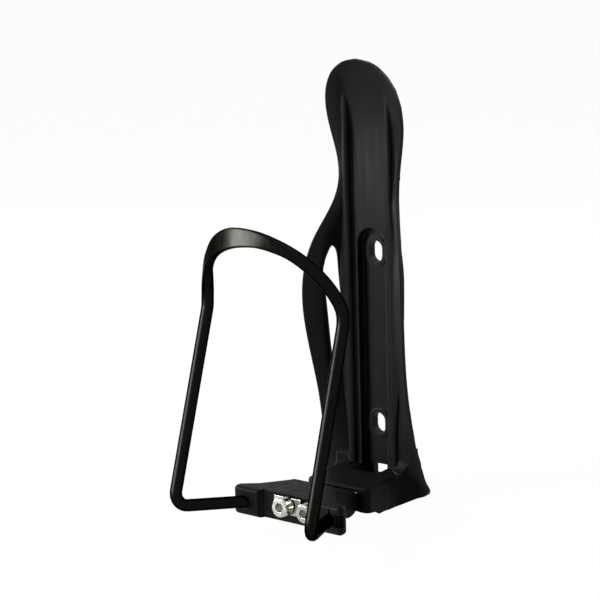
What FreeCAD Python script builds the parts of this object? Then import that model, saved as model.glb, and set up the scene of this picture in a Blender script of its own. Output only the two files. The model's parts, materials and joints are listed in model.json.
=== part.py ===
"""Adjustable bottle cage: moulded back plate, tilting front block, bent rod loop.

Millimetres. X is the cage's left and right, +Y points at the bicycle frame,
+Z is up. The origin lies on the plane that meets the frame tube, half way
between the two frame bolts.
"""
import os
import math

import FreeCAD
import Part

V = FreeCAD.Vector

# ---- clearances -----------------------------------------------------------
FIT = 0.05            # radial play of a shaft that turns in its hole
PRESS = 0.02          # radial play of a pressed-in rod end
GAP = 0.3             # free space between pieces that move past each other
THROUGH = 1.0         # how far a cutting tool stands clear of what it cuts
FAR = 60.0            # reach of the prisms that cut along Y
BEHIND = 20.0         # how far the window prisms pass behind the frame plane
NEAR = 0.01           # two measures closer than this are the same

# ---- frame bolts and groove -----------------------------------------------
BOLT_PITCH = 64.0     # standard distance between frame bolts
SLOT_W = 5.5          # clears an M5 bolt
SLOT_L = 8.0
FLOOR_T = 3.0         # plastic under the bolt heads
GROOVE_HALF = 6.0
GROOVE_TOP = 41.0     # crown of the arched groove end
GROOVE_FRONT = -14.0  # how far the groove is scooped into the shelf's top
RING_RISE = 0.6       # raised land around each slot
RING_W = 1.5
BOSS_WALL = 2.2
BOSS_BOTTOM = -56.5

# ---- back plate shell -----------------------------------------------------
SHELL_T = 2.6
CHANNEL_Y = -6.5      # front of the channel floor
CHANNEL_HALF = 7.6
WING_BOW = 0.58       # share of the wing rise reached at its middle
OVERRUN = 2.0         # how far the wing sections run past the free outline
# height, half width, front of the free edge, front of the centre
STATIONS = (
    (104.0, 16.0, -18.5, -17.0),
    (91.0, 15.6, -11.6, -9.4),
    (76.0, 15.1, -8.1, -6.6),
    (60.0, 12.8, -7.2, CHANNEL_Y),
    (40.0, 17.6, -14.5, CHANNEL_Y),
    (20.0, 21.4, -19.2, CHANNEL_Y),
    (-10.0, 19.8, -15.3, CHANNEL_Y),
    (-35.0, 19.9, -10.1, CHANNEL_Y),
    (-62.0, 21.6, -1.0, CHANNEL_Y),
)
# free outline of one side, from the crown down to the foot corner
CROWN_Z = 101.3
OUTLINE = (
    (9.5, 98.6), (15.1, 90.5), (16.1, 82.3), (14.2, 70.0), (12.7, 59.0),
    (14.0, 50.0), (18.2, 38.5), (21.3, 22.0), (20.8, 2.0), (19.4, -18.0),
    (20.1, -38.0), (21.6, -52.5),
)
FOOT_X = 18.8
FOOT_Z = -56.4
FOOT_MID_Z = -59.0
FOOT_ROUND = (20.9, -55.4)  # a point on the round of the foot corner

# ---- ribs and wing windows ------------------------------------------------
RIB_X = 9.2
RIB_W = 2.8
RIB_CREST_Y = -10.0
RIB_TOP = 91.0        # by here the paddle has come forward over the bead
RIB_BOTTOM = -47.0
RIB_LEAN = 1.1        # the crest moves back by this much over the bead's height
RIB_ROOT = 0.3        # depth of the bead's foot inside the shell
TRIM_LOW = (-5.2, 74.0)     # line inside the paddle that ends the bead's back
TRIM_HIGH = (-8.2, 92.0)
WINDOW = (
    (11.4, 28.0), (13.3, 34.2), (15.6, 29.0), (15.8, 20.0), (14.8, 4.0),
    (13.6, -12.0), (12.4, -18.5), (11.4, -12.0),
)

# ---- shelf ----------------------------------------------------------------
SHELF_HALF = 13.5
SHELF_FRONT = -31.0
SHELF_TOP = -47.4
SHELF_BOTTOM_FRONT = -56.4
SHELF_BOTTOM_REAR = -58.6
SHELF_WALL = 2.2
SHELF_ROOF = 1.8
SHELF_FLOOR = 1.0
SHELF_REAR_IN = -8.0
SHELF_RUN_ON = 3.0    # how far in front of the shelf the cavity's slopes are drawn
SHELF_REAR = 0.0
SHELF_CORNER = 2.2    # radius of the upright front corners
SHELF_RIM = 1.0       # radius round the shelf's top
MOUTH_R = 2.7         # radius of the mouth's corners
FLARE_FRONT = -16.0   # where the shelf's side starts to sweep out to the wing
FLARE_X = 20.2
FLARE_REAR = -4.0
FLARE_RISE = 10.0     # radius of the flare's run-out up the wing
FLARE_HOLLOW = 0.33   # how far the sweep stays from its inner corner
SADDLE_WALL = 2.6     # plastic in front of the barrel nut
SCREW_WAY = 8.0       # length of the groove that lets the screw into the shelf
DRAIN_HALF = 3.0
DRAIN_TOP = -47.6
DRAIN_BOTTOM = -52.0

# ---- hinge ----------------------------------------------------------------
HINGE_Y = -28.0
HINGE_Z = -53.2
TRUNNION_R = 1.8
SOCKET_DEPTH = 1.5
TONGUE_HALF = 7.3
SHOULDER_HALF = 8.8   # round shoulder in front of the tongue
TONGUE_WALL = 0.4     # plastic round the trunnion's root

# ---- front block ----------------------------------------------------------
BLOCK_TOP = -43.6
BLOCK_BOTTOM = -53.8
BLOCK_HALF = 23.0
BOSS_FRONT = -61.0
PANEL_FRONT = BOSS_FRONT + 2.5
PANEL_HALF = 12.6
PANEL_SLOPE = 1.6     # run of the step between panel and boss
BOSS_REAR = BOSS_FRONT + 3.4
BARREL_Y = -34.9
BARREL_Z = -52.6
BARREL_R = 4.7
CUFF_REAR = -45.5     # where the top of the block ends and falls to the barrel
EDGE_R = 1.3
END_R = 1.6           # upright corners of the bosses
# side of the block behind the boss: out from the shoulder's side, back from the cuff's rear
CHEEK = ((5.0, -5.4), (0.8, 0.0), (0.0, 1.5))
NECK_ROOT = 3.0       # how far the neck's top runs into the block
NECK_FOOT = 5.0       # how far its underside does
NECK_CREST = 0.5      # flat top behind the cuff
NECK_EASE = 1.2       # the neck meets the shoulder this far in front of its axis
NECK_STEP = 0.1       # and this far inside its crown

# ---- rod loop -------------------------------------------------------------
ROD_R = 2.2
HOLE_X = 18.0         # rod centre where it leaves the block
HOLE_Z = -48.7
CORNER = V(28.6, -86.2, -45.0)
CORNER_R = 4.6
KINK = V(28.3, -64.6, 20.0)
ROD_DEPTH = 6.0       # rod inside the block
BAND_H = 6.9
BAND_T = 2.3
BAND_EDGE = 0.5       # radius of the flattened band's edges
FLAT_FROM = 0.11      # share of the arch over which the rod turns flat
ROUND_EDGE = 1.4      # edge radius while it is still nearly round
SHARES = (.05, .11, .18, .26, .34, .42, .5)  # places of the sections along the arch
BOTTLE_Y = -41.0      # axis of the bottle that the arch goes round
LEAD_IN = 3.0         # straight rod below the kink that steers the arch
# centre line of the flattened arch, right half, kink side first
ARCH = (
    (27.9, -64.6, 25.0), (25.7, -66.8, 31.0), (21.9, -70.3, 37.2),
    (15.7, -74.1, 43.1), (7.6, -77.1, 47.1), (0.0, -77.8, 48.2),
)

# ---- adjusting screw line -------------------------------------------------
WASHER_AT = V(0.0, BOSS_FRONT + 0.6, -47.2)
NUT_AT = V(0.0, -17.0, -53.0)
WASHER_R = 2.9
WASHER_HALF = 5.6
NUT_R = 3.0
NUT_HALF = 6.0
SCREW_R = 2.0
HEAD_R = 3.3
HEAD_H = 3.9
HEAD_EDGE = 0.4
SOCKET_AF = 3.0
SOCKET_H = 2.2
HEAD_LIFT = 0.5       # room under the head, taken up as the loop tilts out
SCREW_TAIL = 5.5      # thread standing out behind the barrel nut
BORE_R = 2.7
BORE_FAN = 1.3        # room over and under the screw at the bore's far end

# ---- clamp screw ----------------------------------------------------------
CLAMP_X = 9.1
CLAMP_Z = -47.6
CLAMP_FACE = BOSS_FRONT - 2.4
CLAMP_LEN = 9.5
SQUARE_AF = 7.0
SQUARE_T = 3.2
SQUARE_FRONT = PANEL_FRONT + 3.6

# ---- slit and pocket beside the right rod hole -----------------------------
SLIT_W = 0.9
SLIT_TOP = -44.7
SLIT_DEPTH = 3.0
POCKET_DEPTH = 2.6
POCKET_REAR = 2.2
POCKET_HALF_H = 2.3


def box(x0, x1, y0, y1, z0, z1):
    return Part.makeBox(x1 - x0, y1 - y0, z1 - z0, V(x0, y0, z0))


def rod(start, direction, radius, length):
    return Part.makeCylinder(radius, length, start, direction)


def rod_x(half, radius, y, z):
    return rod(V(-half, y, z), V(1, 0, 0), radius, 2 * half)


def slab(points, push):
    """Solid made by pushing a closed polygon along a vector."""
    wire = Part.makePolygon(list(points) + [points[0]])
    return Part.Face(wire).extrude(push)


def mirrored(shape):
    return shape.mirror(V(0, 0, 0), V(1, 0, 0))


def spline(points, closed=False):
    curve = Part.BSplineCurve()
    curve.interpolate(Points=points, PeriodicFlag=closed)
    return curve.toShape()


def one_solid(shape):
    """The single solid of a finished piece, without leftover seams."""
    clean = shape.removeSplitter()
    return max(clean.Solids, key=lambda s: s.Volume)


# ---- back plate -----------------------------------------------------------
def wing_edges(side):
    """Flat floor with a wing curving off either end of it."""
    curve = Part.BSplineCurve()
    curve.interpolate(Points=side, InitialTangent=V(1, 0, 0), FinalTangent=side[-1] - side[-2])
    wing = curve.toShape()
    floor = Part.makeLine(V(-side[0].x, side[0].y, side[0].z), side[0])
    return [wing, floor, mirrored(wing)]


def station_wire(z, half, edge_y, centre_y, setback):
    """Closed section of the shell; setback moves it towards the frame."""
    mid = (CHANNEL_HALF + half) / 2
    mid_y = centre_y + (edge_y - centre_y) * WING_BOW
    slope = (edge_y - mid_y) / (half - mid)
    side = [V(CHANNEL_HALF, centre_y, z), V(mid, mid_y, z), V(half, edge_y, z),
            V(half + OVERRUN, edge_y + OVERRUN * slope, z)]
    front = wing_edges(side)
    back = wing_edges([p + V(0, setback, 0) for p in side])
    corner = side[-1]
    across = V(2 * corner.x, 0, 0)
    rear = corner + V(0, setback, 0)
    ends = [Part.makeLine(corner, rear), Part.makeLine(corner - across, rear - across)]
    return Part.Wire(Part.__sortEdges__(front + back + ends))


def outline_prism():
    """Everything inside the free outline, seen along Y."""
    right = [V(x, -FAR, z) for x, z in OUTLINE]
    left = [V(-x, -FAR, z) for x, z in reversed(OUTLINE)]
    curve = spline(left + [V(0, -FAR, CROWN_Z)] + right)
    foot = [right[-1], V(FOOT_X, -FAR, FOOT_Z), V(0, -FAR, FOOT_MID_Z),
            V(-FOOT_X, -FAR, FOOT_Z), left[0]]
    round_x, round_z = FOOT_ROUND
    corner_r = Part.Arc(foot[0], V(round_x, -FAR, round_z), foot[1]).toShape()
    corner_l = Part.Arc(foot[3], V(-round_x, -FAR, round_z), foot[4]).toShape()
    base_r = Part.makeLine(foot[1], foot[2])
    base_l = Part.makeLine(foot[2], foot[3])
    wire = Part.Wire(Part.__sortEdges__([curve, corner_r, base_r, base_l, corner_l]))
    return Part.Face(wire).extrude(V(0, 2 * FAR, 0))


def shell():
    wires = [station_wire(z, half, edge, mid, SHELL_T) for z, half, edge, mid in STATIONS]
    loft = Part.makeLoft(wires, True, False)
    return loft.common(outline_prism())


def rib(side):
    """Round-nosed bead beside the channel; the paddle comes forward over its top."""
    x = side * RIB_X
    radius = RIB_W / 2
    centre = RIB_CREST_Y + radius
    root = CHANNEL_Y + RIB_ROOT
    rise = V(0, RIB_LEAN, RIB_TOP - RIB_BOTTOM)
    nose = rod(V(x, centre, RIB_BOTTOM), rise, radius, rise.Length)
    web = slab([V(x - radius, centre, RIB_BOTTOM), V(x + radius, centre, RIB_BOTTOM),
                V(x + radius, root, RIB_BOTTOM), V(x - radius, root, RIB_BOTTOM)], rise)
    wide = 2 * RIB_X
    behind = [V(-wide, TRIM_LOW[0], TRIM_LOW[1]), V(-wide, TRIM_HIGH[0], TRIM_HIGH[1]),
              V(-wide, 0, TRIM_HIGH[1]), V(-wide, 0, TRIM_LOW[1])]
    return nose.fuse(web).cut(slab(behind, V(2 * wide, 0, 0)))


def window(side):
    points = [V(side * x, -FAR, z) for x, z in WINDOW]
    face = Part.Face(Part.Wire(spline(points, True)))
    return face.extrude(V(0, FAR + BEHIND, 0))


def arched_bar(half, y0, y1, bottom, top):
    """Upright bar with a round top, its flat faces square to Y."""
    depth = y1 - y0
    bar = box(-half, half, y0, y1, bottom, top - half)
    crown = rod(V(0, y0, top - half), V(0, 1, 0), half, depth)
    return bar.fuse(crown)


def stadium(width, length, y0, y1, centre_z):
    radius = width / 2
    straight = (length - width) / 2
    body = box(-radius, radius, y0, y1, centre_z - straight, centre_z + straight)
    for end in (-straight, straight):
        body = body.fuse(rod(V(0, y0, centre_z + end), V(0, 1, 0), radius, y1 - y0))
    return body


def shelf_profile(inset_roof, inset_floor, front, rear):
    return [
        V(0, front, SHELF_TOP - inset_roof),
        V(0, rear, SHELF_TOP - inset_roof),
        V(0, rear, SHELF_BOTTOM_REAR + inset_floor),
        V(0, front, SHELF_BOTTOM_FRONT + inset_floor),
    ]


def shelf_block():
    points = [p + V(-SHELF_HALF, 0, 0) for p in shelf_profile(0, 0, SHELF_FRONT, SHELF_REAR)]
    block = slab(points, V(2 * SHELF_HALF, 0, 0))
    upright = [e for e in block.Edges
               if abs(e.CenterOfMass.y - SHELF_FRONT) < NEAR and e.BoundBox.XLength < NEAR]
    block = block.makeFillet(SHELF_CORNER, upright)
    lip = [e for e in block.Edges
           if abs(e.CenterOfMass.z - SHELF_TOP) < NEAR
           and e.CenterOfMass.y < SHELF_REAR - THROUGH]
    return block.makeFillet(SHELF_RIM, lip)


def foot_flare(side):
    """Hollow sweep from the shelf's side out to the foot of the wing."""
    inner = V(side * RIB_X, FLARE_REAR, SHELF_BOTTOM_REAR)
    front = V(side * RIB_X, FLARE_FRONT, SHELF_BOTTOM_REAR)
    start = V(side * SHELF_HALF, FLARE_FRONT, SHELF_BOTTOM_REAR)
    end = V(side * FLARE_X, FLARE_REAR, SHELF_BOTTOM_REAR)
    corner = V(start.x, end.y, start.z)
    middle = corner + (start + end - corner * 2) * FLARE_HOLLOW
    arc = Part.Arc(start, middle, end).toShape()
    sides = [Part.makeLine(end, inner), Part.makeLine(inner, front), Part.makeLine(front, start)]
    base = Part.Face(Part.Wire(Part.__sortEdges__([arc] + sides)))
    flare = base.extrude(V(0, 0, SHELF_TOP + FLARE_RISE - SHELF_BOTTOM_REAR))
    hollow = rod_x(2 * FLARE_X, FLARE_RISE, FLARE_FRONT, SHELF_TOP - SHELF_RIM + FLARE_RISE)
    return flare.cut(hollow)


def shelf_cavity():
    half = SHELF_HALF - SHELF_WALL
    front = SHELF_FRONT - SHELF_RUN_ON
    points = [p + V(-half, 0, 0)
              for p in shelf_profile(SHELF_ROOF, SHELF_FLOOR, front, SHELF_REAR_IN)]
    cavity = slab(points, V(2 * half, 0, 0))
    corners = [e for e in cavity.Edges
               if abs(abs(e.CenterOfMass.x) - half) < NEAR and e.BoundBox.YLength > half]
    return cavity.makeFillet(MOUTH_R, corners)


def mouth_relief():
    """Hollow in the floor's front edge, where the shoulder dips as the loop tilts."""
    round_way = rod_x(SHOULDER_HALF + 2 * GAP, BARREL_R + THROUGH, BARREL_Y, BARREL_Z)
    upper = box(-SHELF_HALF, SHELF_HALF, BARREL_Y - 2 * BARREL_R, SHELF_REAR,
                BARREL_Z - BARREL_R / 2, SHELF_TOP)
    return round_way.cut(upper)


def nut_saddle(side):
    """Cross wall in the shelf; the barrel nut pulls into its round seat."""
    x0 = SCREW_R + 2 * GAP
    x1 = SHELF_HALF - SHELF_WALL / 2
    wall = box(x0, x1, NUT_AT.y - NUT_R - SADDLE_WALL, NUT_AT.y + SHELF_FLOOR / 2,
               SHELF_BOTTOM_REAR + SHELF_FLOOR / 2, SHELF_TOP - SHELF_ROOF / 2)
    if side < 0:
        wall = mirrored(wall)
    return wall


def back_plate():
    plate = shell()
    boss = arched_bar(GROOVE_HALF + BOSS_WALL, CHANNEL_Y + RIB_ROOT, 0.0, BOSS_BOTTOM,
                      GROOVE_TOP + BOSS_WALL)
    shelf = shelf_block().fuse([foot_flare(-1), foot_flare(1)]).common(outline_prism())
    plate = plate.fuse([boss, shelf, rib(-1), rib(1)])
    plate = plate.cut(shelf_cavity())
    plate = plate.fuse([nut_saddle(-1), nut_saddle(1)])
    groove = arched_bar(GROOVE_HALF, GROOVE_FRONT, -FLOOR_T, DRAIN_BOTTOM, GROOVE_TOP)
    plate = plate.cut(groove)
    drain = box(-DRAIN_HALF, DRAIN_HALF, -FLOOR_T - THROUGH, THROUGH, DRAIN_BOTTOM, DRAIN_TOP)
    seat = rod_x(NUT_HALF + GAP, NUT_R + FIT, NUT_AT.y, NUT_AT.z)
    load_way = box(-NUT_HALF - GAP, NUT_HALF + GAP, NUT_AT.y - NUT_R, NUT_AT.y + NUT_R + THROUGH,
                   SHELF_BOTTOM_REAR - THROUGH, NUT_AT.z)
    sockets = rod_x(SHELF_HALF - SHELF_WALL + SOCKET_DEPTH, TRUNNION_R + FIT, HINGE_Y, HINGE_Z)
    relief_at = WASHER_AT + screw_axis() * (SHELF_FRONT - THROUGH - WASHER_AT.y)
    relief = rod(relief_at, screw_axis(), BORE_R, SCREW_WAY)
    plate = plate.cut([drain, seat, load_way, sockets, relief, mouth_relief(),
                       window(-1), window(1)])
    for sign in (-1, 1):
        z = sign * BOLT_PITCH / 2
        front = -FLOOR_T - RING_RISE
        land = stadium(SLOT_W + 2 * RING_W, SLOT_L + 2 * RING_W, front, -THROUGH, z)
        hole = stadium(SLOT_W, SLOT_L, front - THROUGH, THROUGH, z)
        plate = plate.fuse(land).cut(hole)
    return one_solid(plate)


# ---- rod loop -------------------------------------------------------------
def rod_direction():
    return (V(HOLE_X, BOSS_FRONT, HOLE_Z) - CORNER).normalize()


def rod_end():
    return V(HOLE_X, BOSS_FRONT, HOLE_Z) + rod_direction() * ROD_DEPTH


def rod_frame(centre, tangent):
    """Directions across the rod: away from the bottle, and along the band's height."""
    outward = V(centre.x, centre.y - BOTTLE_Y, 0)
    normal = (outward - tangent * outward.dot(tangent)).normalize()
    return normal, tangent.cross(normal)


def ring(points, mids):
    """Closed wire of eight edges; a middle point turns an edge into an arc."""
    edges = []
    for i, start in enumerate(points):
        end = points[(i + 1) % len(points)]
        if mids[i] is None:
            edges.append(Part.makeLine(start, end))
        else:
            edges.append(Part.Arc(start, mids[i], end).toShape())
    return Part.Wire(edges)


def round_section():
    """Round section where the leg meets the arch at the kink."""
    normal, across = rod_frame(KINK, (KINK - CORNER).normalize())
    turns = [math.pi / 8 * (step - 1) for step in range(16)]
    around = [KINK + normal * (math.cos(t) * ROD_R) + across * (math.sin(t) * ROD_R) for t in turns]
    return ring(around[0::2], around[1::2])


def band_section(centre, tangent, height, thick, edge):
    """Flattened section: four flats and four rounded edges."""
    normal, across = rod_frame(centre, tangent)
    n = thick / 2
    h = height / 2
    points = []
    mids = []
    inset = edge * (1 - math.sqrt(0.5))
    for sn, sh in ((1, 1), (-1, 1), (-1, -1), (1, -1)):
        on_face = centre + normal * (sn * n) + across * (sh * (h - edge))
        on_edge = centre + normal * (sn * (n - edge)) + across * (sh * h)
        first, last = (on_face, on_edge) if sn == sh else (on_edge, on_face)
        points += [first, last]
        mids += [centre + normal * (sn * (n - inset)) + across * (sh * (h - inset)), None]
    points = points[-1:] + points[:-1]
    mids = mids[-1:] + mids[:-1]
    return ring(points, mids)


def rod_leg():
    """Round rod: down the leg from the kink, bottom corner, end in the block."""
    inward = rod_direction()
    up = (KINK - CORNER).normalize()
    angle = inward.getAngle(up)
    reach = CORNER_R / math.tan(angle / 2)
    a = CORNER + inward * reach
    b = CORNER + up * reach
    bisector = (inward + up).normalize()
    middle = CORNER + bisector * (CORNER_R / math.sin(angle / 2) - CORNER_R)
    path = Part.Wire([Part.makeLine(KINK, b),
                      Part.Arc(b, middle, a).toShape(),
                      Part.makeLine(a, rod_end())])
    return path.makePipeShell([round_section()], True, False)


def arch_band():
    """Flattened arch; round at both kinks, a flat band in between."""
    below = KINK - (KINK - CORNER).normalize() * LEAD_IN
    right = [below, KINK] + [V(*p) for p in ARCH]
    left = [V(-p.x, p.y, p.z) for p in reversed(right[:-1])]
    curve = Part.BSplineCurve()
    curve.interpolate(Points=right + left)
    first = curve.parameter(KINK)
    span = curve.parameter(V(-KINK.x, KINK.y, KINK.z)) - first
    wires = [round_section()]
    for share in SHARES:
        u = first + span * share
        flat = min(1.0, share / FLAT_FROM)
        height = 2 * ROD_R + (BAND_H - 2 * ROD_R) * flat
        thick = 2 * ROD_R + (BAND_T - 2 * ROD_R) * flat
        edge = ROUND_EDGE + (BAND_EDGE - ROUND_EDGE) * flat
        wires.append(band_section(curve.value(u), V(*curve.tangent(u)[0]), height, thick, edge))
    half = Part.makeLoft(wires, True, False)
    return half.fuse(mirrored(half))


def wire_loop():
    leg = rod_leg()
    joined = arch_band().fuse([leg, mirrored(leg)])
    return one_solid(joined)


# ---- screws and nuts ------------------------------------------------------
def screw_axis():
    """Unit vector along the adjusting screw, from its head to the nut."""
    return (NUT_AT - WASHER_AT).normalize()


def cap_screw(face, axis, length):
    """Socket head screw; face is the middle of the head's front."""
    head = rod(face, axis, HEAD_R, HEAD_H)
    rim = [e for e in head.Edges if (e.CenterOfMass - face).Length < NEAR and e.Closed]
    head = head.makeChamfer(HEAD_EDGE, rim)
    shank = rod(face + axis * HEAD_H, axis, SCREW_R, length)
    side = V(1, 0, 0)
    up = axis.cross(side)
    reach = SOCKET_AF / math.sqrt(3)
    corners = []
    for step in range(6):
        turn = math.pi * step / 3
        corners.append(face + side * (math.cos(turn) * reach) + up * (math.sin(turn) * reach))
    socket = slab(corners, axis * SOCKET_H)
    return one_solid(head.fuse(shank).cut(socket))


def adjusting_screw():
    axis = screw_axis()
    under_head = WASHER_AT - axis * HEAD_LIFT
    face = under_head - axis * HEAD_H
    length = (NUT_AT - under_head).Length + SCREW_TAIL
    return cap_screw(face, axis, length)


def barrel_washer():
    """Half-round washer; its flat carries the screw head."""
    axis = screw_axis()
    bar = rod_x(WASHER_HALF, WASHER_R, WASHER_AT.y, WASHER_AT.z)
    up = V(1, 0, 0).cross(axis)
    reach = 2 * WASHER_HALF
    corner = WASHER_AT + V(-reach, 0, 0) - up * reach
    right = V(2 * reach, 0, 0)
    front = slab([corner, corner + right, corner + right + up * (2 * reach),
                  corner + up * (2 * reach)], axis * -reach)
    bore = rod(WASHER_AT - axis * reach, axis, SCREW_R + GAP, 2 * reach)
    return one_solid(bar.cut([front, bore]))


def barrel_nut():
    bar = rod_x(NUT_HALF, NUT_R, NUT_AT.y, NUT_AT.z)
    ends = [e for e in bar.Edges if e.Closed]
    bar = bar.makeChamfer(HEAD_EDGE, ends)
    axis = screw_axis()
    bore = rod(NUT_AT - axis * (2 * NUT_R), axis, SCREW_R + FIT, 4 * NUT_R)
    return one_solid(bar.cut(bore))


def clamp_screw():
    return cap_screw(V(CLAMP_X, CLAMP_FACE, CLAMP_Z), V(0, 1, 0), CLAMP_LEN)


def clamp_nut():
    half = SQUARE_AF / 2
    nut = box(CLAMP_X - half, CLAMP_X + half, SQUARE_FRONT, SQUARE_FRONT + SQUARE_T,
              CLAMP_Z - half, CLAMP_Z + half)
    bore_at = V(CLAMP_X, SQUARE_FRONT - THROUGH, CLAMP_Z)
    return one_solid(nut.cut(rod(bore_at, V(0, 1, 0), SCREW_R, SQUARE_T + 2 * THROUGH)))


# ---- front block ----------------------------------------------------------
def block_body():
    """Cuffs for the rod and the bridge between them, seen from above."""
    half = [
        V(PANEL_HALF - PANEL_SLOPE, PANEL_FRONT, 0), V(PANEL_HALF, BOSS_FRONT, 0),
        V(BLOCK_HALF, BOSS_FRONT, 0), V(BLOCK_HALF, BOSS_REAR, 0),
    ]
    half += [V(SHOULDER_HALF + out, CUFF_REAR + back, 0) for out, back in CHEEK]
    mirror = [V(-p.x, p.y, 0) for p in reversed(half)]
    points = [p + V(0, 0, BLOCK_BOTTOM) for p in half + mirror]
    body = slab(points, V(0, 0, BLOCK_TOP - BLOCK_BOTTOM))
    ends = [e for e in body.Edges
            if abs(abs(e.CenterOfMass.x) - BLOCK_HALF) < NEAR and e.BoundBox.ZLength > END_R]
    body = body.makeFillet(END_R, ends)
    rims = [e for e in body.Edges if e.BoundBox.ZLength < NEAR
            and abs(e.CenterOfMass.x) > PANEL_HALF]
    return body.makeFillet(EDGE_R, rims)


def block_neck():
    """Neck from the bridge down to the round shoulder and the tongue."""
    lift = BARREL_R - NECK_STEP
    profile = [
        V(-SHOULDER_HALF, CUFF_REAR - NECK_ROOT, BLOCK_TOP),
        V(-SHOULDER_HALF, CUFF_REAR + NECK_CREST, BLOCK_TOP),
        V(-SHOULDER_HALF, BARREL_Y - NECK_EASE, BARREL_Z + lift),
        V(-SHOULDER_HALF, BARREL_Y - NECK_EASE, BARREL_Z - lift),
        V(-SHOULDER_HALF, CUFF_REAR - NECK_FOOT, BLOCK_BOTTOM),
    ]
    neck = slab(profile, V(2 * SHOULDER_HALF, 0, 0))
    shoulder = rod_x(SHOULDER_HALF, BARREL_R, BARREL_Y, BARREL_Z)
    rims = [e for e in shoulder.Edges if e.Closed]
    shoulder = shoulder.makeChamfer(HEAD_EDGE, rims)
    lug_r = TRUNNION_R + TONGUE_WALL
    tongue = box(-TONGUE_HALF, TONGUE_HALF, BARREL_Y, HINGE_Y, HINGE_Z - lug_r, HINGE_Z + lug_r)
    lug = rod_x(TONGUE_HALF, lug_r, HINGE_Y, HINGE_Z)
    trunnions = rod_x(SHELF_HALF - SHELF_WALL + SOCKET_DEPTH - GAP, TRUNNION_R, HINGE_Y, HINGE_Z)
    return neck.fuse([shoulder, tongue, lug, trunnions])


def rod_hole():
    """Blind hole for the right rod end."""
    direction = rod_direction()
    mouth = V(HOLE_X, BOSS_FRONT, HOLE_Z)
    return rod(mouth - direction * (2 * ROD_R), direction, ROD_R + PRESS, ROD_DEPTH + 2 * ROD_R)


def hole_relief():
    """Slit over the right rod hole and the pocket on its outer side."""
    front = BOSS_FRONT - THROUGH
    slit = box(HOLE_X, HOLE_X + SLIT_W, front, BOSS_FRONT + SLIT_DEPTH, HOLE_Z, SLIT_TOP)
    pocket = box(BLOCK_HALF - POCKET_DEPTH, BLOCK_HALF + THROUGH, front,
                 BOSS_FRONT + POCKET_REAR, HOLE_Z - POCKET_HALF_H, HOLE_Z + POCKET_HALF_H)
    return slit.fuse(pocket)


def screw_way():
    """Seat of the half-round washer and the upright bore for the screw."""
    axis = screw_axis()
    reach = HINGE_Y + TRUNNION_R + TONGUE_WALL + THROUGH - WASHER_AT.y
    seat = rod_x(WASHER_HALF + GAP, WASHER_R + FIT, WASHER_AT.y, WASHER_AT.z)
    mouth = box(-WASHER_HALF - GAP, WASHER_HALF + GAP, WASHER_AT.y - HEAD_H, WASHER_AT.y,
                WASHER_AT.z - WASHER_R - FIT, WASHER_AT.z + WASHER_R + FIT)
    way = seat.fuse(mouth)
    for drop in (-BORE_FAN, 0.0, BORE_FAN):
        toward = (axis * reach + V(0, 0, drop)).normalize()
        way = way.fuse(rod(WASHER_AT, toward, BORE_R, reach))
    return way


def clamp_way():
    """Counterbore, bore and nut pocket of the clamp screw."""
    front = V(CLAMP_X, BOSS_FRONT - HEAD_H, CLAMP_Z)
    under_head = CLAMP_FACE + HEAD_H
    seat = rod(front, V(0, 1, 0), HEAD_R + GAP, under_head - front.y)
    bore = rod(front, V(0, 1, 0), SCREW_R + FIT, under_head + CLAMP_LEN + THROUGH - front.y)
    half = SQUARE_AF / 2 + FIT
    pocket = box(CLAMP_X - half, CLAMP_X + half, SQUARE_FRONT, SQUARE_FRONT + SQUARE_T + FIT,
                 BLOCK_BOTTOM - THROUGH, CLAMP_Z + half)
    return seat.fuse([bore, pocket])


def pivot_block():
    block = block_body().fuse(block_neck())
    hole = rod_hole()
    block = block.cut([hole, mirrored(hole), hole_relief(), screw_way(), clamp_way()])
    return one_solid(block)


PIECES = {
    "back_plate": back_plate,
    "pivot_block": pivot_block,
    "wire_loop": wire_loop,
    "adjusting_screw": adjusting_screw,
    "barrel_washer": barrel_washer,
    "barrel_nut": barrel_nut,
    "clamp_screw": clamp_screw,
    "clamp_nut": clamp_nut,
}

os.makedirs("parts", exist_ok=True)
for name, make in PIECES.items():
    make().exportStep("parts/" + name + ".step")
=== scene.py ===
"""Adjustable bottle cage: its finer forms, materials, studio and camera. Metres."""
import json
import math

import bpy
import bmesh
from mathutils import Matrix, Vector

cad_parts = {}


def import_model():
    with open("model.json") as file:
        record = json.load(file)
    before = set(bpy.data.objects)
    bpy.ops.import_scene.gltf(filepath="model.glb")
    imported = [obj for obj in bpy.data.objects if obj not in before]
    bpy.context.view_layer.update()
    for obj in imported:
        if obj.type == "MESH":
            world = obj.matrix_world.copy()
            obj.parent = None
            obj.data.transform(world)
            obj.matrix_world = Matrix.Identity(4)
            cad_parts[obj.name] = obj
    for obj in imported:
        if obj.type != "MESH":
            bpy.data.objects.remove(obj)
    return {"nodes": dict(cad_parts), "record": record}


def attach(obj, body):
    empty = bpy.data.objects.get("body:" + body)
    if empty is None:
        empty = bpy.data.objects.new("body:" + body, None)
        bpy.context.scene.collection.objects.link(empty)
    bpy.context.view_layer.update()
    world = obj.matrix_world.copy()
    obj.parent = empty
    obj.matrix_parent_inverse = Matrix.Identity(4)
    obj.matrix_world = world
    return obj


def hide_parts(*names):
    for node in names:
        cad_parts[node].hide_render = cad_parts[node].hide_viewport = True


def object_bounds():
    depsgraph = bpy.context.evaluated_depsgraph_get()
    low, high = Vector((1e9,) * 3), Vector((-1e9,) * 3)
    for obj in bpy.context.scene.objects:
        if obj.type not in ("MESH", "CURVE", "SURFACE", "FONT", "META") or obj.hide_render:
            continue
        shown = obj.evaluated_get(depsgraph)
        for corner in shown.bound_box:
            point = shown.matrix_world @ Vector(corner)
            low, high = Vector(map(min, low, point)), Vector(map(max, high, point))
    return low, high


MM = 0.001
WHITE = (1, 1, 1, 1)

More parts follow.
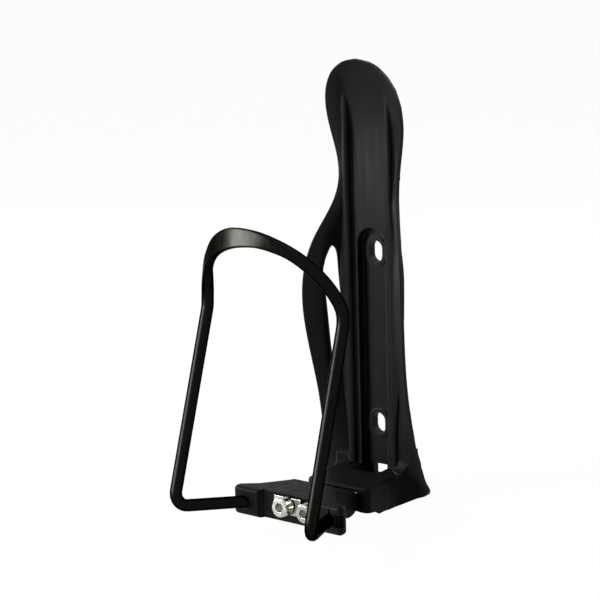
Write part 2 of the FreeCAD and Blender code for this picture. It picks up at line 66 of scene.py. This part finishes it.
# ---- camera: stands right of the cage's front and a little above it ----
AIM = Vector((0, 0, 0))
AZIMUTH = math.radians(37.0)
ELEVATION = math.radians(11.94)
ROLL = math.radians(-1.61)
CAMERA_AT = Vector((324.6, -480.3, 136.8)) * MM
LENS = 97.86
SENSOR = 36.0


# ---- node helpers ----
def material(name):
    mat = bpy.data.materials.new(name)
    mat.use_nodes = True
    mat.node_tree.nodes.clear()
    return mat, mat.node_tree


def node(tree, kind, **inputs):
    """A node with its inputs set; an underscore stands for a space."""
    made = tree.nodes.new(kind)
    for key, value in inputs.items():
        made.inputs[key.replace("_", " ")].default_value = value
    return made


def ramp(tree, source, low, high, start=0.0, end=1.0):
    """Low where the source is at start, high where it is at end."""
    made = node(tree, "ShaderNodeMapRange", From_Min=start, From_Max=end, To_Min=low, To_Max=high)
    tree.links.new(source, made.inputs["Value"])
    return made.outputs["Result"]


def spread(tree, fac, low, high):
    """Low to high over the range that a noise mostly keeps to."""
    return ramp(tree, fac, low, high, 0.3, 0.7)


def colour_mix(tree, factor):
    made = tree.nodes.new("ShaderNodeMix")
    made.data_type = "RGBA"
    tree.links.new(factor, made.inputs["Factor"])
    return made


def tone(tree, factor, dark, light):
    """Colour between dark and light."""
    made = colour_mix(tree, factor)
    made.inputs["A"].default_value = (*dark, 1)
    made.inputs["B"].default_value = (*light, 1)
    return made.outputs["Result"]


def shader_mix(tree, factor, first, second):
    made = tree.nodes.new("ShaderNodeMixShader")
    tree.links.new(factor, made.inputs[0])
    tree.links.new(first.outputs[0], made.inputs[1])
    tree.links.new(second.outputs[0], made.inputs[2])
    return made


def maths(tree, operation, a, b):
    made = tree.nodes.new("ShaderNodeMath")
    made.operation = operation
    tree.links.new(a, made.inputs[0])
    tree.links.new(b, made.inputs[1])
    return made.outputs[0]


def noise(tree, scale, detail=3.0, stretch=(1, 1, 1)):
    """Noise in the object's own metres; a small stretch value lengthens it along that axis."""
    place = tree.nodes.new("ShaderNodeTexCoord")
    mapping = node(tree, "ShaderNodeMapping", Scale=stretch)
    made = node(tree, "ShaderNodeTexNoise", Scale=scale, Detail=detail)
    tree.links.new(place.outputs["Object"], mapping.inputs["Vector"])
    tree.links.new(mapping.outputs["Vector"], made.inputs["Vector"])
    return made.outputs["Fac"]


def along_axis(tree, axis, start, end, at_start, at_end):
    """One value before a place on an axis of the object, another past a second place."""
    place = tree.nodes.new("ShaderNodeTexCoord")
    split = tree.nodes.new("ShaderNodeSeparateXYZ")
    tree.links.new(place.outputs["Object"], split.inputs[0])
    return ramp(tree, split.outputs[axis], at_start, at_end, start, end)


def surface(tree, shader, output="ShaderNodeOutputMaterial"):
    out = tree.nodes.new(output)
    tree.links.new(shader.outputs[0], out.inputs["Surface"])


# ---- shapes: millimetres until their mesh is written ----
def smooth(low, high, value):
    """0 at low, 1 at high, soft at both; low may be the larger of the two."""
    t = min(1.0, max(0.0, (value - low) / (high - low)))
    return t * t * (3 - 2 * t)


def between(rows, z):
    """Columns of a table with falling heights, read at height z."""
    if z >= rows[0][0]:
        return rows[0][1:]
    for upper, lower in zip(rows, rows[1:]):
        if z >= lower[0]:
            t = (z - lower[0]) / (upper[0] - lower[0])
            return [b + (a - b) * t for a, b in zip(upper[1:], lower[1:])]
    return rows[-1][1:]


def catmull(points, steps):
    """Smooth line through the points; the first and last only steer it."""
    line = []
    for a, b, c, d in zip(points, points[1:], points[2:], points[3:]):
        for i in range(steps):
            t = i / steps
            line.append(0.5 * (2 * b + (c - a) * t + (2 * a - 5 * b + 4 * c - d) * t * t
                               + (3 * b - a - 3 * c + d) * t ** 3))
    return line + [points[-2]]


def shown(name, mesh, sharp_angle):
    """An object for a finished mesh, smooth except across its sharp edges."""
    obj = bpy.data.objects.new(name, mesh)
    bpy.context.collection.objects.link(obj)
    for poly in mesh.polygons:
        poly.use_smooth = True
    mesh.set_sharp_from_angle(angle=math.radians(sharp_angle))
    return obj


# ---- rod loop: round legs that turn into a flattened arch, whose paler left side is a painted highlight ----
ROD_R = 2.15
HOLE = Vector((18.0, -61.0, -48.7))      # where the rod leaves the block
CORNER = Vector((28.6, -86.2, -45.0))    # lower corner, before it is rounded
CORNER_R = 4.6
KINK = Vector((28.3, -64.6, 20.0))       # where the leg turns into the arch
ROD_DEPTH = 6.0                          # length of rod inside the block
ARCH = ((27.9, -64.6, 25.2), (25.7, -66.8, 31.4), (21.9, -70.3, 37.8),
        (15.7, -74.1, 43.7), (7.6, -77.1, 47.4), (0.0, -77.8, 48.3))
LEG_END = 1.2         # the leg stops this far under the kink
LEAD_IN = 3.0         # a point this far under the kink steers the arch's start
BEND_STEPS = 10
LEG_STEPS = 12
ARCH_STEPS = 9        # sections between two points of the arch
AROUND = 28           # points round a section
BAND_HALF = 3.45      # half height and half thickness of the flattened arch
BAND_THIN = 1.15
BAND_TILT = math.radians(12)
SQUARENESS = 5        # how much boxier than an ellipse the flat section is
BOTTLE_Y = -41.0      # axis of the bottle, which the band faces
THIN_SHARES = (0.10, 0.32)   # shares of the arch over which it thins and grows tall
TALL_SHARES = (0.0, 0.45)
THIN_X = (16.0, 2.0)         # and over which both fade towards the right leg
TALL_X = (15.0, -9.0)


def mirror(points):
    return [Vector((-p.x, p.y, p.z)) for p in reversed(points)]


def leg_line():
    """From inside the block to just under the kink."""
    inward = (HOLE - CORNER).normalized()
    up = (KINK - CORNER).normalized()
    angle = inward.angle(up)
    reach = CORNER_R / math.tan(angle / 2)
    centre = CORNER + (inward + up).normalized() * (CORNER_R / math.sin(angle / 2))
    start = (CORNER + inward * reach - centre).normalized()
    end = (CORNER + up * reach - centre).normalized()
    bend = [centre + start.slerp(end, i / BEND_STEPS) * CORNER_R for i in range(BEND_STEPS + 1)]
    top = KINK - up * LEG_END
    straight = [bend[-1].lerp(top, i / LEG_STEPS) for i in range(1, LEG_STEPS + 1)]
    return [HOLE + inward * ROD_DEPTH, HOLE.copy()] + bend + straight


def arch_line():
    lead = KINK - (KINK - CORNER).normalized() * LEAD_IN
    half = [lead, KINK] + [Vector(p) for p in ARCH]
    return catmull(half + mirror(half[:-1]), ARCH_STEPS)


def loop_sections():
    """Centres of the sections, and each one's place along the arch, 0 on the legs."""
    leg = leg_line()
    arch = arch_line()
    count = len(arch) - 1
    places = [min(i, count - i) / count for i in range(len(arch))]
    straight = [0.0] * len(leg)
    return leg + arch[1:-1] + mirror(leg), straight + places[1:-1] + straight


def section(centre, along, place):
    """Points round one section: a circle on the legs, a thin upright band on the arch."""
    flat = smooth(*THIN_SHARES, place) * smooth(*THIN_X, centre.x)
    raised = smooth(*TALL_SHARES, place) * smooth(*TALL_X, centre.x)
    outward = Vector((centre.x, centre.y - BOTTLE_Y, 0)).normalized()
    outward.z = math.tan(BAND_TILT * flat)
    normal = (outward - along * outward.dot(along)).normalized()
    across = along.cross(normal)
    power = 2 / (2 + SQUARENESS * flat)
    thin = ROD_R + (BAND_THIN - ROD_R) * flat
    tall = ROD_R + (BAND_HALF - ROD_R) * raised
    points = []
    for k in range(AROUND):
        turn = 2 * math.pi * k / AROUND
        c, s = math.cos(turn), math.sin(turn)
        points.append(centre + normal * (math.copysign(abs(c) ** power, c) * thin)
                      + across * (math.copysign(abs(s) ** power, s) * tall))
    return points


def tube_faces(sections):
    """Quads between neighbouring sections and a cap on each end."""
    faces = []
    for start in range(0, (sections - 1) * AROUND, AROUND):
        for k in range(AROUND):
            n = (k + 1) % AROUND
            faces.append((start + k, start + n, start + AROUND + n, start + AROUND + k))
    last = (sections - 1) * AROUND
    faces.append(tuple(reversed(range(AROUND))))
    faces.append(tuple(range(last, last + AROUND)))
    return faces


def wire_loop():
    centres, places = loop_sections()
    verts = []
    for i, place in enumerate(places):
        before = centres[max(i - 1, 0)]
        after = centres[min(i + 1, len(centres) - 1)]
        verts += section(centres[i], (after - before).normalized(), place)
    mesh = bpy.data.meshes.new("rod_loop")
    mesh.from_pydata([tuple(v * MM) for v in verts], [], tube_faces(len(centres)))
    mesh.update()
    obj = shown("rod_loop", mesh, 40)
    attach(obj, "loop_side")
    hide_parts("wire_loop")
    return obj


# ---- back plate: the moulding with its finer curves ----
# height, half width, front of the free edge, front of the centre
STATIONS = ((104.0, 16.0, -18.5, -17.0), (91.0, 15.6, -11.6, -9.4), (76.0, 15.1, -8.1, -6.6),
            (60.0, 12.8, -7.2, -6.5), (40.0, 17.6, -14.5, -6.5), (20.0, 21.4, -19.2, -6.5),
            (-10.0, 19.8, -15.3, -6.5), (-35.0, 19.9, -10.1, -6.5), (-62.0, 21.6, -1.0, -6.5))
# height, how far the free edge comes forward, how far it comes in
EASE = ((104.0, 1.0, 1.5), (91.0, 1.05, 0.95), (76.0, 0.9, 0.4), (60.0, 0.8, 0.25),
        (40.0, 0.75, 0.4), (20.0, 0.9, 0.3), (-10.0, 1.3, 0.15), (-35.0, 1.3, 0.15),
        (-50.0, 1.3, 0.25), (-57.0, 1.2, -0.8), (-62.0, 1.1, -1.0))
# height and half width of the free outline
OUTLINE = ((101.3, 0.5), (98.6, 9.5), (90.5, 15.1), (82.3, 16.1), (70.0, 14.2), (59.0, 12.7),
           (50.0, 14.0), (38.5, 18.2), (22.0, 21.3), (2.0, 20.8), (-18.0, 19.4),
           (-38.0, 20.1), (-52.5, 21.6), (-62.0, 22.0))
WING_CURVE = 0.32            # how much of a wing's sweep comes early
FRAME_SIDE = -0.5            # what lies behind this meets the frame and stays as it is
SHELF_TOP = -47.4
SHELF_FADE = (-18.0, -9.0)   # on the shelf the easing fades towards its front
EDGE_INNER = 8.0             # the easing starts this far from the middle
EDGE_SHARE = 0.3             # or at this share of a narrow half width
RIM_THINNER = 0.6
RIB_INNER = 7.6              # a rib's two sides, and the wall between the ribs
RIB_OUTER = 10.8
RIB_FLOOR = -6.5
RIB_FOOT = -47.0
RIB_LENGTH = 138.0
RIB_NEW = (1.9, 0.6)         # height of a rib at its foot, and its gain up to the top
RIB_OLD = (3.5, -1.1)
FLARE_Z = (-52, -34)         # where the shelf flares out into the wings
FLARE_INNER = 11
FLARE_WALL = 2.5
FLARE_INSET = 0.2
SOLE_DROP = 1.8              # lower edge between the shelf's side and the wing's corner
SOLE_Z = (-54.0, -58.0)
SOLE_INNER = (9.4, 10.4)
SOLE_OUTER = (13.0, 20.0)
SOLE_Y = (-28.0, -17.0)
WINDOW_SHIFT = 2.3           # the window's inner edge moves outward
WINDOW_FOOT = (-38.0, -8.0)
WINDOW_TOP = (24.0, 52.0)
WINDOW_INNER = (9.7, 10.5)
WINDOW_OUTER = (11.6, 15.9)
EDGE_LIMITS = (9.0, 5.0, 5.0)   # longest mesh edge after each splitting
SPLIT_FROM = 7.5                # the middle of the plate isn't split
REAR_FACING = 0.55              # a face's normal counts as rearward from here
REAR_DEPTH = 1.6                # and its points if they lie this far behind the front


def front_of(x, z):
    """Front of the plate, from the wall between the ribs to the wing's edge."""
    half, edge, centre = between(STATIONS, z)
    t = max(0.0, (abs(x) - RIB_INNER) / (half - RIB_INNER))
    return centre + (edge - centre) * ((1 + WING_CURVE) * t - WING_CURVE * t * t)


def lower_rib(p, q):
    """Bring a rib's crest closer to the wall it stands on."""
    if not RIB_INNER < abs(p.x) < RIB_OUTER or p.z <= SHELF_TOP + 0.1:
        return
    rise = (p.z - RIB_FOOT) / RIB_LENGTH
    base = max(RIB_FLOOR, front_of(0, p.z))
    if p.y < base:
        keep = (RIB_NEW[0] + RIB_NEW[1] * rise) / (RIB_OLD[0] + RIB_OLD[1] * rise)
        q.y = base + (p.y - base) * min(1.0, keep)


def tuck_flare(p, q, half):
    """Keep the flare's points inside the wing's wall and outline."""
    out = abs(p.x)
    if FLARE_Z[0] < p.z < FLARE_Z[1] and out > FLARE_INNER:
        q.y = min(q.y, front_of(p.x, p.z) + FLARE_WALL)
        q.x = math.copysign(min(out, half - FLARE_INSET), p.x)


def ease_edge(p, q, half, rear):
    """Bring the free edge forward and inward; the rear goes farther and thins the rim."""
    share = smooth(min(EDGE_INNER, EDGE_SHARE * half), half, abs(p.x))
    if p.z < SHELF_TOP + 1:
        share *= smooth(*SHELF_FADE, p.y)
    forward, inward = between(EASE, p.z)
    q.y -= (forward + (RIM_THINNER if rear else 0.0)) * share
    q.x -= math.copysign(1, p.x) * inward * share


def drop_sole(p, q):
    """Run the lower edge straight from the shelf's side to the wing's corner."""
    out = abs(p.x)
    amount = smooth(*SOLE_Z, p.z) * smooth(*SOLE_INNER, out)
    amount *= (1 - smooth(*SOLE_OUTER, out)) * smooth(*SOLE_Y, p.y)
    q.z -= SOLE_DROP * amount


def narrow_window(p, q):
    """Widen the web between a rib and its window."""
    out = abs(p.x)
    aside = WINDOW_SHIFT * smooth(*WINDOW_FOOT, p.z) * (1 - smooth(*WINDOW_TOP, p.z))
    aside *= smooth(*WINDOW_INNER, out) * (1 - smooth(*WINDOW_OUTER, out))
    q.x += math.copysign(aside, p.x)


def reshape(p, rear):
    """New place of a point of the moulding."""
    q = p.copy()
    if p.y > FRAME_SIDE:
        return q
    half = between(OUTLINE, p.z)[0]
    lower_rib(p, q)
    tuck_flare(p, q, half)
    ease_edge(p, q, half, rear)
    drop_sole(p, q)
    narrow_window(p, q)
    return q


def split_long_edges(bm):
    """Give the wings and the paddle enough points to bend smoothly."""
    for limit in EDGE_LIMITS:
        long = [e for e in bm.edges if e.calc_length() > limit * MM
                and max(abs(v.co.x) for v in e.verts) > SPLIT_FROM * MM]
        bmesh.ops.subdivide_edges(bm, edges=long, cuts=1)
        bmesh.ops.triangulate(bm, faces=bm.faces)


def bend(bm):
    """Move every point to its new place."""
    rear = set()
    for face in bm.faces:
        if face.normal.y > REAR_FACING:
            rear.update(v.index for v in face.verts)
    for v in bm.verts:
        p = v.co / MM
        behind = v.index in rear and p.y > front_of(p.x, p.z) + REAR_DEPTH
        v.co = reshape(p, behind) * MM


def back_plate(source):
    bm = bmesh.new()
    bm.from_mesh(source.data)
    bmesh.ops.remove_doubles(bm, verts=bm.verts, dist=1e-6)
    split_long_edges(bm)
    bend(bm)
    mesh = bpy.data.meshes.new("moulded_plate")
    bm.to_mesh(mesh)
    bm.free()
    if "custom_normal" in mesh.attributes:
        mesh.attributes.remove(mesh.attributes["custom_normal"])
    obj = shown("moulded_plate", mesh, 28)
    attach(obj, "frame_side")
    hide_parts("back_plate")
    return obj


# ---- materials ----
def softened(tree, radius):
    """Normal with edges rounded to a radius."""
    soft = node(tree, "ShaderNodeBevel", Radius=radius)
    soft.samples = 8
    return soft.outputs["Normal"]


def edge_mask(tree, soft):
    """High where the softened normal turns away from the face, along the edges."""
    flat = tree.nodes.new("ShaderNodeNewGeometry")
    turn = tree.nodes.new("ShaderNodeVectorMath")
    turn.operation = "DOT_PRODUCT"
    tree.links.new(soft, turn.inputs[0])
    tree.links.new(flat.outputs["Normal"], turn.inputs[1])
    return ramp(tree, turn.outputs["Value"], 1.0, 0.0, 0.75, 0.995)


def grained(tree, height, strength, distance, normal):
    made = node(tree, "ShaderNodeBump", Strength=strength, Distance=distance)
    tree.links.new(height, made.inputs["Height"])
    tree.links.new(normal, made.inputs["Normal"])
    return made.outputs["Normal"]


def coat(tree, colour, roughness, normal, **settings):
    shader = node(tree, "ShaderNodeBsdfPrincipled", **settings)
    tree.links.new(colour, shader.inputs["Base Color"])
    tree.links.new(roughness, shader.inputs["Roughness"])
    tree.links.new(normal, shader.inputs["Normal"])
    surface(tree, shader)


def moulded_plastic():
    """Black polypropylene: spark-eroded grain, flow streaks, edges painted paler, partly as wear
    and partly as a painted highlight.
    """
    mat, tree = material("black_moulded_plastic")
    soft = softened(tree, 0.55 * MM)
    cloud = noise(tree, 55, 4)
    streak = noise(tree, 420, 5, (1, 1, 0.09))
    # edges painted paler: partly rubbed wear, partly a painted highlight standing in for light
    # caught along the edges
    wear_and_highlight_mask = maths(tree, "MULTIPLY", edge_mask(tree, soft), noise(tree, 260, 4))
    body = tone(tree, cloud, (0.0036, 0.0036, 0.0033), (0.0064, 0.0064, 0.0058))
    wear_and_highlight_tone = colour_mix(tree, wear_and_highlight_mask)
    wear_and_highlight_tone.inputs["B"].default_value = (0.055, 0.055, 0.050, 1)
    tree.links.new(body, wear_and_highlight_tone.inputs["A"])
    coat(tree, wear_and_highlight_tone.outputs["Result"], spread(tree, streak, 0.34, 0.50),
         grained(tree, noise(tree, 2600, 2), 0.14, 0.00006, soft), Specular_IOR_Level=0.03)
    return mat


def anodised_rod():
    """Black anodised rod, drawn lengthwise; the left and middle of its arch carry a painted
    highlight, a paler tone.
    """
    mat, tree = material("black_anodised_aluminium")
    draw = noise(tree, 1100, 4, (1, 1, 0.1))
    # painted highlight: the arch's left side, where light from the left falls and reflects, is
    # painted a paler tone
    high = along_axis(tree, "Z", 0.028, 0.040, 0.0, 1.0)
    left = along_axis(tree, "X", -0.006, 0.006, 1.0, 0.0)
    highlight_mix = colour_mix(tree, maths(tree, "MULTIPLY", high, left))
    leg = tone(tree, draw, (0.0045, 0.0045, 0.0042), (0.0080, 0.0080, 0.0075))
    painted_highlight_tone = tone(tree, draw, (0.013, 0.013, 0.0117), (0.021, 0.021, 0.0189))
    tree.links.new(leg, highlight_mix.inputs["A"])
    tree.links.new(painted_highlight_tone, highlight_mix.inputs["B"])
    coat(tree, highlight_mix.outputs["Result"], spread(tree, draw, 0.26, 0.38),
         grained(tree, draw, 0.10, 0.00005, softened(tree, 0.3 * MM)),
         Metallic=1.0, Specular_Tint=(0.25, 0.25, 0.24, 1))
    return mat


def chrome():
    """Bright plated steel: polish grain, slightly dulled in patches."""
    mat, tree = material("chrome_plated_steel")
    polish = noise(tree, 1500, 3)
    patch = noise(tree, 500, 3)
    coat(tree, tone(tree, patch, (0.30, 0.32, 0.28), (0.52, 0.53, 0.49)),
         spread(tree, polish, 0.10, 0.22),
         grained(tree, polish, 0.05, 0.00003, softened(tree, 0.15 * MM)), Metallic=1.0)
    return mat


FINISHES = {"black_plastic": moulded_plastic, "black_rod": anodised_rod, "chrome_steel": chrome}


def dress(frame):
    """Give each solid its finish, and show the finer plate and rod in place of theirs."""
    made = {slot: build() for slot, build in FINISHES.items()}
    for part in frame["record"]["subparts"]:
        obj = frame["nodes"][part["node"]]
        obj.data.materials.clear()
        obj.data.materials.append(made[part["material_slot"]])
    wire_loop().data.materials.append(made["black_rod"])
    plate = back_plate(frame["nodes"]["back_plate"])
    plate.data.materials.append(made["black_plastic"])


# ---- studio ----
DIM_LIGHT = 0.14         # what the world gives to the object
FLOOR_WIDTH = 60
FLOOR_WHITE = 0.97       # the rest of the floor's tone shows the shadow
# name, place, size, watts
LAMPS = (("softbox_left", (-0.72, 0.04, 0.16), (0.45, 0.4), 6.5),
         ("key_left_front", (-0.42, -0.58, 0.14), (0.35, 0.35), 12.0),
         ("top", (0.1, 0.0, 0.8), (0.6, 0.6), 2.0),
         ("rear_fill", (0.25, 0.85, 0.35), (0.6, 0.6), 5.0))


def seen_directly(tree):
    """1 for camera, glossy and transmission rays, 0 for the rest."""
    path = tree.nodes.new("ShaderNodeLightPath").outputs
    seen = maths(tree, "MAXIMUM", path["Is Camera Ray"], path["Is Glossy Ray"])
    return maths(tree, "MAXIMUM", seen, path["Is Transmission Ray"])


def dim_world():
    world = bpy.data.worlds.new("studio")
    bpy.context.scene.world = world
    world.use_nodes = True
    tree = world.node_tree
    tree.nodes.clear()
    dim = node(tree, "ShaderNodeBackground", Color=WHITE, Strength=DIM_LIGHT)
    white = node(tree, "ShaderNodeBackground", Color=WHITE, Strength=1.0)
    surface(tree, shader_mix(tree, seen_directly(tree), dim, white), "ShaderNodeOutputWorld")


def floor(low):
    bpy.ops.mesh.primitive_plane_add(size=FLOOR_WIDTH, location=(0, 0, low))
    plane = bpy.context.object
    plane.name = "floor"
    mat, tree = material("pale_floor")
    lit = node(tree, "ShaderNodeBsdfDiffuse")
    grain = tone(tree, noise(tree, 40, 2), (0.86, 0.86, 0.86), (0.88, 0.88, 0.88))
    tree.links.new(grain, lit.inputs["Color"])
    white = node(tree, "ShaderNodeEmission", Color=WHITE, Strength=1.0)
    share = ramp(tree, seen_directly(tree), 0.0, FLOOR_WHITE)
    surface(tree, shader_mix(tree, share, lit, white))
    plane.data.materials.append(mat)


def lamp(name, place, size, watts):
    data = bpy.data.lights.new(name, "AREA")
    data.shape = "RECTANGLE"
    data.size = size[0]
    data.size_y = size[1]
    data.energy = watts
    obj = bpy.data.objects.new(name, data)
    bpy.context.collection.objects.link(obj)
    obj.location = place
    obj.rotation_euler = (AIM - Vector(place)).to_track_quat("-Z", "Y").to_euler()


def camera():
    data = bpy.data.cameras.new("camera")
    data.lens = LENS
    data.sensor_width = SENSOR
    forward = Vector((-math.sin(AZIMUTH) * math.cos(ELEVATION),
                      math.cos(AZIMUTH) * math.cos(ELEVATION), -math.sin(ELEVATION)))
    level = Vector((math.cos(AZIMUTH), math.sin(AZIMUTH), 0))
    upright = level.cross(forward)
    right = level * math.cos(ROLL) + upright * math.sin(ROLL)
    up = upright * math.cos(ROLL) - level * math.sin(ROLL)
    turn = Matrix((right, up, -forward)).transposed()
    obj = bpy.data.objects.new("camera", data)
    obj.matrix_world = Matrix.Translation(CAMERA_AT) @ turn.to_4x4()
    bpy.context.collection.objects.link(obj)
    bpy.context.scene.camera = obj


def studio(low):
    dim_world()
    floor(low)
    for row in LAMPS:
        lamp(*row)
    camera()
    bpy.context.scene.view_settings.view_transform = "Standard"


def main():
    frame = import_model()
    cad_box = [list(v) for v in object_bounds()]
    dress(frame)
    studio(cad_box[0][2])


main()
